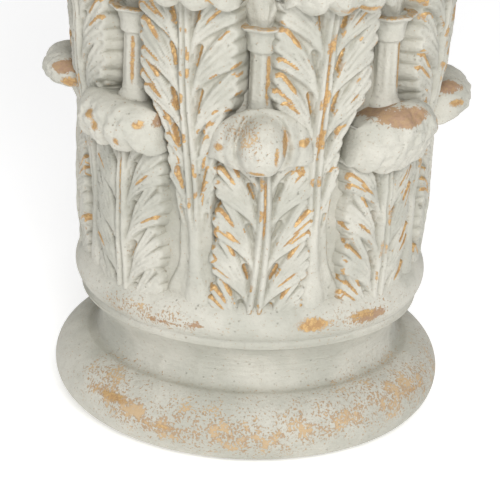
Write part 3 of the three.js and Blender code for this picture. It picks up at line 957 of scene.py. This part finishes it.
LOWER_LEAVES = (
    Character(Curl.BUN, patches=(Patch("worn", 11, 291, 16, 8, 0.9), Patch("gold", 11, 277, 6, 4, 0.8))),
    Character(Curl.PILLOW),
    Character(Curl.EGG, gold_share=0.4),
    Character(Curl.SHELL),
    Character(Curl.CAP, patches=(
        Patch("worn", 214, 297, 9, 8, 0.9),
        Patch("gold", 216, 285, 5, 5, 0.9),
        Patch("worn", 209, 215, 6, 48, 0.5),
    )),
    Character(Curl.PILLOW, turned=-2.2, wider=1.02, gold_share=0.08, patches=(
        Patch("gold", 243, 286, 6, 4, 0.85),
        Patch("gold", 245, 277, 4.5, 5, 0.8),
        Patch("gold", 257.5, 285, 4, 4.5, 0.85),
        Patch("gold", 252, 269, 3, 4.5, 0.85),
        Patch("worn", 262, 287, 6, 8, 1.0),
        Patch("gold", 264, 273, 5, 3.5, 0.8),
        *(Patch("gold", 263.6, 256 - 16.7 * k, 3.0, 3.0, 0.8) for k in range(7)),
    )),
    Character(Curl.EGG, turned=0.6, bow=2.0, wider=1.03, gold_share=0.45, patches=(
        Patch("gold", 299, 284, 3.0, 11, 1.0),
        Patch("gold", 305, 282, 7, 4, 0.85),
        Patch("gold", 281, 277, 5, 3.5, 0.85),
        Patch("gold", 277.5, 288, 3.5, 4, 0.7),
        Patch("gold", 296.6, 277, 2.2, 9, 0.8),
        Patch("gold", 292, 262, 9, 2.5, 0.75),
        Patch("stipple", 288, 294, 19, 16, 1.5),
        # Darkens the curl's upper left through the hollow mask
        Patch("hollow", 289, 299, 16, 8, 0.4),
    )),
    Character(Curl.SHELL, turned=0.8, wider=1.03, gold_share=0.4, patches=(
        Patch("worn", 335, 295, 25, 8, 1.05),
        Patch("gold", 319, 280, 3.5, 4, 0.9),
        Patch("gold", 348, 279, 4, 7, 0.85),
        Patch("gold", 352, 256, 3, 4, 0.8),
    )),
)
UPPER_LEAVES = (
    Character(Curl.PILLOW, gold_share=0.45),
    Character(Curl.SHELL, bow=2.0),
    Character(Curl.PILLOW),
    Character(Curl.SHELL, sway=-2.0),
    Character(Curl.PILLOW, bow=-2.0),
    Character(Curl.SHELL),
    Character(Curl.PILLOW, sway=4.0, bow=-1.2, gold_share=0.5),
    Character(Curl.PILLOW, turned=-2.0, bow=-2.5, gold_share=0.45, patches=(
        Patch("worn", 312, 420, 16, 8, 0.9),
        Patch("gold", 315, 396, 22, 3, 0.8),
    )),
)


@dataclass
class LeafRow:
    """A row of leaves round the bell."""

    size: Proportions
    form: LeafForm
    first_angle: float
    leaves: tuple
    seed: int

    def build(self, name: str, halves: int = 2) -> list[tuple[str, Skin]]:
        """The row as a few skins, each under the triangle limit."""
        skins = []
        pitch = 360 / self.size.leaves
        per_half = self.size.leaves // halves
        for part in range(halves):
            skin = Skin()
            for k in range(part * per_half, (part + 1) * per_half):
                own = self.leaves[k]
                leaf = Leaf(self.size, self.form, self.first_angle + pitch * k + own.turned, own.curl,
                            self.seed + 11 * k, own.sway, own.bow, own.wider, own.gold_share, own.patches)
                leaf.build(skin)
            skins.append((f"{name}_{part + 1}", skin))
        return skins


@dataclass
class Stalks:
    """The stalks behind the lower leaves, with their cups and the leaves that open out of them.

    Attributes:
        size: the plinth's sizes.
        radius: a stalk's own radius.
        top: how high the cup's rim stands over the ring.
        cup_height: the cup's height.
        foot_share: where a stalk starts, as a share of a lower leaf's height.
        first_angle: the first stalk's place round the plinth, in degrees.
        around: how many points go round a stalk.
        stem: radius as a share of the stalk's, and height over its foot.
        cup: the same for the cup, with the height over the cup's foot.
        blades: lean towards the nearest corner, height, half width and reach of each sheath leaf.
    """

    size: Proportions
    radius: float = 9
    top: float = 234
    cup_height: float = 17
    foot_share: float = 0.8
    first_angle: float = 22.5
    around: int = 40
    stem: tuple = ((0.2, 0), (1.25, 0), (1.38, 22), (1.5, 27), (1.5, 30), (1.2, 34), (1.12, 40))
    cup: tuple = (
        (1.1, -16), (1.1, -6), (1.38, -4.5), (1.44, -3), (1.46, 1.5), (1.5, 5), (1.6, 9),
        (1.82, 12.5), (2.25, 14), (2.4, 15.5), (2.35, 17), (1.7, 17.5), (1.5, 16), (0.2, 15),
    )
    blades: tuple = ((40, 122, 17, 30), (-24, 112, 15, 8), (3, 62, 13, 10))

    @property
    def reach(self) -> float:
        """How far from the axis a stalk's middle stands."""
        return float(self.size.bell(self.top)) + self.radius

    @property
    def rim(self) -> float:
        """Height of the cup's rim."""
        return self.size.ring_top + self.top

    def one(self, skin: Skin, angle: float) -> None:
        """Adds one stalk: a fluted stem, a ring at its foot and a goblet cup."""
        foot = self.size.leaf_foot + LOWER.height * self.foot_share
        cup = self.rim - self.cup_height
        rows = [(share, foot + z) for share, z in self.stem]
        rows += [(share, cup + z) for share, z in self.cup]
        fine = []
        for (r0, z0), (r1, z1) in zip(rows, rows[1:]):
            for t in np.linspace(0, 1, 4, endpoint=False):
                fine.append((r0 + (r1 - r0) * t, z0 + (z1 - z0) * t))
        fine.append(rows[-1])
        profile = np.array(fine)
        turn = np.linspace(0, math.tau, self.around, endpoint=False)
        radius = np.repeat(profile[:, :1] * self.radius, self.around, axis=1)
        height = np.repeat(profile[:, 1:], self.around, axis=1)
        on_stem = soft_step(height, foot + 36, foot + 44) * (1 - soft_step(height, cup - 9, cup - 5))
        flute = np.abs(np.cos(turn * 4))[None] ** 0.8
        radius = radius * (1 - 0.13 * on_stem * (1 - flute))
        on_cup = soft_step(height, cup + 1, cup + 8)
        radius = radius * (1 + 0.05 * on_cup * np.cos(turn * 8)[None])
        x = self.reach + radius * np.cos(turn)
        y = radius * np.sin(turn)
        c, s = math.cos(math.radians(angle)), math.sin(math.radians(angle))
        places = np.stack([x * c - y * s, x * s + y * c, height], axis=-1)
        # Painted shade in the flutes
        hollow = 0.5 * on_stem * (1 - flute)
        gold = 0.8 * on_stem * np.exp(-(((turn - 0.5) / 0.22) ** 2))[None] * np.ones_like(radius)
        rim_gold = 0.5 * np.exp(-(((height - self.rim) / 1.5) ** 2))
        gold = np.maximum(gold, rim_gold)
        skin.add_tube(places[:, ::-1], {"hollow": hollow[:, ::-1], "gold": gold[:, ::-1]})

    def blade(self, skin: Skin, angle: float, lean: float, height: float, width: float, out: float) -> None:
        """Adds a pointed sheath leaf that opens from a cup.

        Args:
            skin: where it goes.
            angle: the stalk's place round the plinth, in degrees.
            lean: how far its tip goes round the plinth, in millimetres.
            height: how high its tip stands over the cup.
            width: half its width.
            out: how far its tip stands off the stalk.
        """
        stations, around = 40, 24
        t = np.linspace(0, 1, stations)
        curl = soft_step(t, 0.74, 1)
        middle_s = lean * t**1.3
        middle_z = self.rim - 9 + height * np.sin(math.pi / 2 * np.minimum(t * 1.12, 1.12)) - 9 * curl**2
        middle_r = self.reach + 3 + out * t**1.6 + 15 * curl
        half = width * (0.62 + 0.5 * np.sin(math.pi * np.minimum(t * 0.95 + 0.03, 1))) * (1 - 0.5 * t**5)
        half = half * (1 + 0.11 * np.abs(np.sin(t * 15)) - 0.05)
        half[-1] = 0.8
        ring = np.linspace(0, math.tau, around, endpoint=False)
        thick = 5.5 * (1 - 0.45 * t)
        slope = math.atan2(lean, height)
        share = np.cos(ring)[None]
        across = half[:, None] * share
        off = thick[:, None] * np.sin(ring)[None] * (1 - 0.45 * np.abs(share) ** 3)
        fan = np.abs(share) * 7 - t[:, None] * 15
        ribs = (0.9 * np.cos(fan * 1.6) + 1.4 * np.exp(-((share / 0.12) ** 2))) * (np.sin(ring)[None] > 0)
        s = middle_s[:, None] + across * math.cos(slope)
        z = middle_z[:, None] - across * math.sin(slope) - 5 * np.abs(share) ** 2
        r = middle_r[:, None] + off + ribs * (half[:, None] > 3) - 0.016 * across**2
        turn = math.radians(angle) + s / self.reach
        places = np.stack([r * np.cos(turn), r * np.sin(turn), z], axis=-1)
        # Painted shade between the ribs
        hollow = 0.45 * soft_step(-ribs, 0.2, 0.7) * np.ones_like(r)
        edge = np.exp(-(((np.abs(share) - 0.92) / 0.1) ** 2)) * (np.sin(ring)[None] > -0.3)
        gold = 0.8 * edge * soft_step(lumps(s, z, 22, int(angle)), 0.1, 0.6)
        skin.add_tube(places, {"hollow": hollow, "gold": gold})

    def build(self) -> list[tuple[str, Skin]]:
        """All stalks, cups and sheath leaves."""
        skin = Skin()
        for k in range(self.size.leaves):
            angle = self.first_angle + 360 / self.size.leaves * k
            toward_corner = 1 if k % 2 == 0 else -1
            self.one(skin, angle)
            for lean, height, width, out in self.blades:
                self.blade(skin, angle, lean * toward_corner, height, width, out)
        return [("stalks_and_cups", skin)]


@dataclass(frozen=True)
class ScrollForm:
    """A volute or helix: where its eye stands, and the size of its band.

    Attributes:
        angle: the eye's place round the plinth, in degrees.
        reach: how far the eye stands from the axis.
        radius: radius of its outermost turn.
        depth: how deep the band is.
        band: how wide the band is.
        turns: how many times it winds round its eye.
    """

    angle: float
    reach: float
    radius: float
    depth: float
    band: float
    turns: float = 1.9


@dataclass
class Scrolls:
    """The volutes at the corners and the helices on the faces."""

    size: Proportions
    stalks: Stalks
    volute: ScrollForm = ScrollForm(angle=41.6, reach=210, radius=46, depth=18, band=16)
    helix: ScrollForm = ScrollForm(angle=11.0, reach=155, radius=28, depth=15, band=11)
    flower_radius: float = 27
    petals: int = 6

    def frame(self, form: ScrollForm) -> tuple[np.ndarray, np.ndarray, float]:
        """The stalk's place in plan, the plane's direction from it, and how far the eye is along it."""
        start = math.radians(self.stalks.first_angle)
        stalk = np.array([math.cos(start), math.sin(start)]) * self.stalks.reach
        goal = math.radians(form.angle)
        eye = np.array([math.cos(goal), math.sin(goal)]) * form.reach
        run = eye - stalk
        length = float(np.hypot(*run))
        return stalk, run / length, length

    def tree(self) -> bpy.types.NodeTree:
        """A node group that turns copies of a mesh round the upright axis and makes them real."""
        group = bpy.data.node_groups.new("ring_of_copies", "GeometryNodeTree")
        for name, way, kind in (("Geometry", "INPUT", "Geometry"), ("Copies", "INPUT", "Int"),
                                ("Finish", "INPUT", "Material"), ("Geometry", "OUTPUT", "Geometry")):
            group.interface.new_socket(name, in_out=way, socket_type=f"NodeSocket{kind}")
        kinds = ("NodeGroupInput", "NodeGroupOutput", "GeometryNodeMeshLine", "GeometryNodeInstanceOnPoints",
                 "GeometryNodeInputIndex", "ShaderNodeMath", "ShaderNodeMath", "ShaderNodeCombineXYZ",
                 "GeometryNodeRealizeInstances", "GeometryNodeSetMaterial")
        entry, leave, line, points, index, share, angle, turn, real, coat = map(group.nodes.new, kinds)
        line.mode = "OFFSET"
        line.inputs["Offset"].default_value = (0, 0, 0)
        share.operation = "DIVIDE"
        angle.operation = "MULTIPLY"
        angle.inputs[1].default_value = math.tau
        for source, output, goal, entrance in (
                (entry, "Copies", line, "Count"), (line, "Mesh", points, "Points"),
                (entry, "Geometry", points, "Instance"), (index, "Index", share, 0),
                (entry, "Copies", share, 1), (share, 0, angle, 0), (angle, 0, turn, "Z"),
                (turn, 0, points, "Rotation"), (points, 0, real, 0), (real, 0, coat, "Geometry"),
                (entry, "Finish", coat, "Material"), (coat, 0, leave, "Geometry")):
            group.links.new(source.outputs[output], goal.inputs[entrance])
        return group

    def band(self, skin: Skin, form: ScrollForm, mirror_angle: float | None) -> None:
        """Adds one scroll: an arm from the cup, wound in round its eye, with a web closing it."""
        stalk, heading, length = self.frame(form)
        eye_z = self.size.bell_top - form.radius + 2
        foot_z = self.stalks.rim - 8
        start = 0.80 * math.pi
        spiral = np.linspace(0, 1, 84)
        turn = start - form.turns * math.tau * spiral
        radius = form.radius * (1 - 0.80 * spiral**0.9)
        width = form.band * (1 - 0.62 * spiral)
        mid = radius - width / 2
        sx = length + mid * np.cos(turn)
        sz = eye_z + mid * np.sin(turn)
        t = np.linspace(0, 1, 26, endpoint=False)
        knee = np.array([sx[0] - 0.62 * (eye_z - foot_z) * 0.30, foot_z + 0.55 * (sz[0] - foot_z)])
        ax = 2 * t * (1 - t) * knee[0] + t**2 * sx[0]
        az = (1 - t) ** 2 * foot_z + 2 * t * (1 - t) * knee[1] + t**2 * sz[0]
        px = np.concatenate([ax, sx])
        pz = np.concatenate([az, sz])
        wide = np.concatenate([form.band * (0.62 + 0.38 * t), width])
        deep = np.concatenate([form.depth * (0.7 + 0.3 * t), form.depth * (1 - 0.12 * spiral)])
        dx, dz = np.gradient(px), np.gradient(pz)
        long = np.hypot(dx, dz)
        nx, nz = -dz / long, dx / long
        corner = np.linspace(0, math.tau, 20, endpoint=False)
        shape_n = np.sign(np.cos(corner)) * np.abs(np.cos(corner)) ** 0.55
        shape_d = np.sign(np.sin(corner)) * np.abs(np.sin(corner)) ** 0.55
        channel = 1 - 0.22 * np.exp(-((shape_n / 0.45) ** 2))
        n = 0.5 * wide[:, None] * shape_n[None]
        d = 0.5 * deep[:, None] * (shape_d * channel)[None]
        x = px[:, None] + nx[:, None] * n
        z = np.minimum(pz[:, None] + nz[:, None] * n, self.size.bell_top + 2)
        across = np.array([-heading[1], heading[0]])
        plan = stalk + x[..., None] * heading + d[..., None] * across
        ridge = np.exp(-(((np.abs(shape_n) - 0.95) / 0.22) ** 2))[None]
        gold = 0.46 * ridge * soft_step(lumps(x, z, 30, int(form.radius)), 0.1, 0.7)
        # Painted shade in the band's channel
        hollow = 0.5 * (channel < 0.86)[None] * np.ones_like(x)
        self._place(skin, plan, z, mirror_angle, {"gold": gold, "hollow": hollow})
        self._web(skin, form, (stalk, heading, across, length, eye_z), mirror_angle)

    def _web(self, skin: Skin, form: ScrollForm, plane: tuple, mirror_angle: float | None) -> None:
        """Adds the dished web behind a scroll's turns, with its eye."""
        stalk, heading, across, length, eye_z = plane
        profile = np.array([(0.01, 0.62), (0.08, 0.6), (0.13, 0.5), (0.16, 0.3), (0.45, 0.26), (0.8, 0.3),
                            (0.82, 0.0), (0.8, -0.3), (0.45, -0.26), (0.16, -0.3), (0.13, -0.5),
                            (0.08, -0.6), (0.01, -0.62)])
        turn = np.linspace(0, math.tau, 36, endpoint=False)
        x = length + form.radius * profile[:, :1] * np.cos(turn)[None]
        z = eye_z + form.radius * profile[:, :1] * np.sin(turn)[None]
        d = form.depth * profile[:, 1:] * np.ones_like(x)
        plan = stalk + x[..., None] * heading + d[..., None] * across
        # Painted shade in the dished middle of the web, behind the turns
        hollow = 0.6 * (np.abs(profile[:, 1:]) < 0.35) * np.ones_like(x)
        self._place(skin, plan[:, ::-1], z[:, ::-1], mirror_angle, {"hollow": hollow[:, ::-1]})

    def _place(self, skin: Skin, plan: np.ndarray, z: np.ndarray, mirror_angle: float | None,
               masks: dict) -> None:
        """Adds rings, mirrored across the plane that looks out at an angle where one is given."""
        places = np.concatenate([plan, z[..., None]], axis=-1)
        if mirror_angle is not None:
            a = math.radians(mirror_angle)
            normal = np.array([-math.sin(a), math.cos(a)])
            flat = places[..., :2] @ normal
            places[..., :2] -= 2 * flat[..., None] * normal
            places = places[:, ::-1]
            masks = {name: value[:, ::-1] for name, value in masks.items()}
        skin.add_tube(places, masks)

    def flower(self, skin: Skin) -> None:
        """Adds the flower on the middle of an abacus side: a ring of petals about a button."""
        rows = np.linspace(0, 1, 24)
        turn = np.linspace(0, math.tau, 72, endpoint=False)
        wave = turn * self.petals / 2
        lobed = 0.80 + 0.20 * np.abs(np.cos(wave)) ** 0.6
        inner = 0.86 + 0.14 * np.abs(np.sin(wave))
        blend = lobed[None] * rows[:, None] + inner[None] * (1 - rows[:, None])
        radius = self.flower_radius * rows[:, None] * blend
        dome = 15 + 3.5 * np.sin(rows * math.pi * 0.9) - 8 * rows**4
        button = 6 * np.exp(-((rows / 0.26) ** 4)) - 3 * np.exp(-(((rows - 0.34) / 0.07) ** 2))
        crease = -2.4 * np.exp(-((np.sin(wave + math.pi / 2) / 0.25) ** 2))[None] * rows[:, None]
        out = (dome + button)[:, None] + crease
        back = np.full_like(out[:1], -16.0)
        front_x = self.size.side_reach - 10 + out
        x = np.concatenate([front_x, self.size.side_reach - 9 + back])
        y = np.concatenate([radius * np.cos(turn)[None], radius[-1:] * np.cos(turn)[None] * 0.9])
        z = np.concatenate([radius * np.sin(turn)[None], radius[-1:] * np.sin(turn)[None] * 0.9])
        z = z + self.size.bell_top + self.size.abacus_height / 2
        places = np.stack([x, y, z], axis=-1)
        gold = np.concatenate([0.8 * (crease < -1.2) * np.ones_like(out), np.zeros_like(back)])
        skin.add_tube(places[:, ::-1], {"gold": gold[:, ::-1]})

    def build(self, finish: bpy.types.Material) -> bpy.types.Object:
        """One corner's pair of volutes, one face's pair of helices and its flower, copied round the bell."""
        skin = Skin()
        self.band(skin, self.volute, None)
        self.band(skin, self.volute, 45.0)
        self.band(skin, self.helix, None)
        self.band(skin, self.helix, 0.0)
        self.flower(skin)
        seed = bpy.data.objects.new("scrolls_seed", skin.mesh("scrolls_seed"))
        bpy.context.scene.collection.objects.link(seed)
        modifier = seed.modifiers.new("copies", "NODES")
        modifier.node_group = self.tree()
        names = {item.name: item.identifier for item in modifier.node_group.interface.items_tree
                 if item.item_type == "SOCKET" and item.in_out == "INPUT"}
        modifier[names["Copies"]] = self.size.corners
        modifier[names["Finish"]] = finish
        bpy.context.view_layer.update()
        evaluated = seed.evaluated_get(bpy.context.evaluated_depsgraph_get())
        mesh = bpy.data.meshes.new_from_object(evaluated)
        mesh.name = "scrolls"
        piece = bpy.data.objects.new("scrolls", mesh)
        bpy.context.scene.collection.objects.link(piece)
        bpy.data.objects.remove(seed)
        return piece


@dataclass
class Abacus:
    """The hollow-sided slab, with a moulded edge.

    Attributes:
        size: the plinth's sizes.
        arc_steps: how many points a hollow side has.
        horn_steps: how many points a horn's end has between its corners.
        levels: how far the edge is drawn in, at each share of the slab's height; None lies inside the slab.
    """

    size: Proportions
    arc_steps: int = 56
    horn_steps: int = 6
    levels: tuple = (
        (None, 0.0), (11, 0.0), (9.4, 0.02), (9, 0.06), (9, 0.2), (8.6, 0.3), (7.2, 0.38), (5.0, 0.43),
        (3.2, 0.45), (3.0, 0.47), (3.0, 0.50), (1.2, 0.51), (0.4, 0.53), (0, 0.58), (0, 0.70), (0, 0.86),
        (0.5, 0.93), (1.4, 0.97), (3.2, 1.0), (None, 1.0),
    )

    def plan(self, inset: float) -> np.ndarray:
        """The outline drawn in by an inset, going round counter-clockwise."""
        size = self.size
        horn = size.horn_reach - inset
        half = size.horn_width / 2 - inset * 0.4
        waist = size.side_reach - inset
        quarter = math.pi / size.corners
        end = np.array([horn * math.cos(quarter) + half * math.sin(quarter),
                        horn * math.sin(quarter) - half * math.cos(quarter)])
        sag = end[0] - waist
        radius = (end[1] ** 2 + sag**2) / (2 * sag)
        sweep = math.asin(end[1] / radius)
        rows = []
        for corner in range(size.corners):
            turn = math.tau * corner / size.corners
            c, s = math.cos(turn), math.sin(turn)
            for a in np.linspace(-sweep, sweep, self.arc_steps):
                x, y = waist + radius * (1 - math.cos(a)), radius * math.sin(a)
                rows.append((x * c - y * s, x * s + y * c))
            c2, s2 = math.cos(turn + math.tau / size.corners), math.sin(turn + math.tau / size.corners)
            first = np.array([end[0] * c - end[1] * s, end[0] * s + end[1] * c])
            last = np.array([end[0] * c2 + end[1] * s2, end[0] * s2 - end[1] * c2])
            for t in np.linspace(0, 1, self.horn_steps + 2)[1:-1]:
                rows.append(tuple(first + (last - first) * t))
        return np.array(rows)

    def build(self) -> list[tuple[str, Skin]]:
        """The abacus: a hollow under a fillet, and a rounded upper edge."""
        low, high = self.size.bell_top, self.size.total_height
        tall = high - low
        rings, hollows, golds = [], [], []
        for inset, share in self.levels:
            flat = self.plan(9) * 0.55 if inset is None else self.plan(inset)
            z = np.full((len(flat), 1), low + tall * share)
            rings.append(np.hstack([flat, z]))
            # Painted shade in the hollow under the fillet
            hollows.append(np.full(len(flat), 0.45 if 0.4 < share < 0.52 else 0.0))
            run = np.arange(len(flat))
            golds.append(0.46 * soft_step(np.sin(run * 0.17 + 9 * share), 0.0, 0.9) * (0.9 < share < 0.99))
        rings = np.array(rings)
        skin = Skin()
        masks = {"hollow": np.array(hollows)[:, ::-1], "gold": np.array(golds)[:, ::-1]}
        skin.add_tube(rings[:, ::-1], masks)
        return [("abacus", skin)]


@dataclass(frozen=True)
class Studio:
    """Plain floor, soft light and the camera of the photograph."""

    azimuth: float = 21.1
    elevation: float = 22.4
    roll: float = 2.4
    distance: float = 2.134
    target: tuple = (-0.0003, 0.0, 0.1268)
    lens: float = 180.0
    sensor: float = 36.0
    glow: float = 0.54

    def camera(self) -> None:
        """Places the camera and makes it the scene's."""
        data = bpy.data.cameras.new("camera")
        data.lens = self.lens
        data.sensor_width = self.sensor
        data.clip_end = 50
        camera = bpy.data.objects.new("camera", data)
        bpy.context.scene.collection.objects.link(camera)
        a, e = math.radians(self.azimuth), math.radians(self.elevation)
        away = Vector((math.sin(a) * math.cos(e), -math.cos(a) * math.cos(e), math.sin(e)))
        target = Vector(self.target)
        turn = (-away).to_track_quat("-Z", "Y").to_matrix().to_4x4()
        camera.matrix_world = (Matrix.Translation(target + away * self.distance) @ turn
                               @ Matrix.Rotation(math.radians(self.roll), 4, "Z"))
        bpy.context.scene.camera = camera

    def light(self, name: str, azimuth: float, elevation: float, distance: float, size: float,
              watts: float) -> None:
        """Adds one soft lamp that faces the plinth."""
        data = bpy.data.lights.new(name, "AREA")
        data.shape = "DISK"
        data.size = size
        data.energy = watts
        lamp = bpy.data.objects.new(name, data)
        bpy.context.scene.collection.objects.link(lamp)
        a, e = math.radians(azimuth), math.radians(elevation)
        away = Vector((math.sin(a) * math.cos(e), -math.cos(a) * math.cos(e), math.sin(e)))
        lamp.location = Vector((0, 0, 0.3)) + away * distance
        lamp.rotation_euler = (-away).to_track_quat("-Z", "Y").to_euler()

    def build(self) -> None:
        """The whole studio."""
        scene = bpy.context.scene
        scene.view_settings.view_transform = "Standard"
        world = bpy.data.worlds.new("studio")
        world.use_nodes = True
        backdrop = world.node_tree.nodes["Background"]
        backdrop.inputs["Color"].default_value = (1, 1, 1, 1)
        backdrop.inputs["Strength"].default_value = self.glow
        scene.world = world
        self.camera()
        self.light("key", 28, 30, 2.6, 1.0, 42)
        self.light("top", 5, 75, 2.8, 1.6, 8)
        bpy.ops.mesh.primitive_plane_add(size=14)
        floor = bpy.context.object
        floor.name = "floor"
        floor.data.materials.append(PlainFinish("floor_paint", (0.94, 0.94, 0.94, 1), 0.36).build())


def dress(piece: bpy.types.Object, finish: bpy.types.Material) -> None:
    """Gives a piece its finish and its body, and hides the part of model.glb that it stands for."""
    piece.data.materials.clear()
    piece.data.materials.append(finish)
    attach(piece, BODY)
    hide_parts(NODE)
    LOG.info("%s: %d faces", piece.name, len(piece.data.polygons))


def add_piece(name: str, skin: Skin, finish: bpy.types.Material) -> None:
    """Makes a skin an object of the scene and dresses it."""
    piece = bpy.data.objects.new(name, skin.mesh(name))
    bpy.context.scene.collection.objects.link(piece)
    dress(piece, finish)


def main() -> None:
    """Builds the plinth round its frame."""
    logging.basicConfig(level=logging.INFO, format="%(message)s")
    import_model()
    size = Proportions()
    finish = WornPaint().build()
    Studio().build()
    add_piece("foot_and_bell", Core(size).build(), finish)
    rows = LeafRow(size, LOWER, first_angle=22.5, leaves=LOWER_LEAVES, seed=40).build("lower_leaves")
    rows += LeafRow(size, UPPER, first_angle=0.0, leaves=UPPER_LEAVES, seed=900).build("upper_leaves")
    stalks = Stalks(size)
    rows += stalks.build()
    rows += Abacus(size).build()
    for name, skin in rows:
        add_piece(name, skin, finish)
    dress(Scrolls(size, stalks).build(finish), finish)


if __name__ == "__main__":
    main()
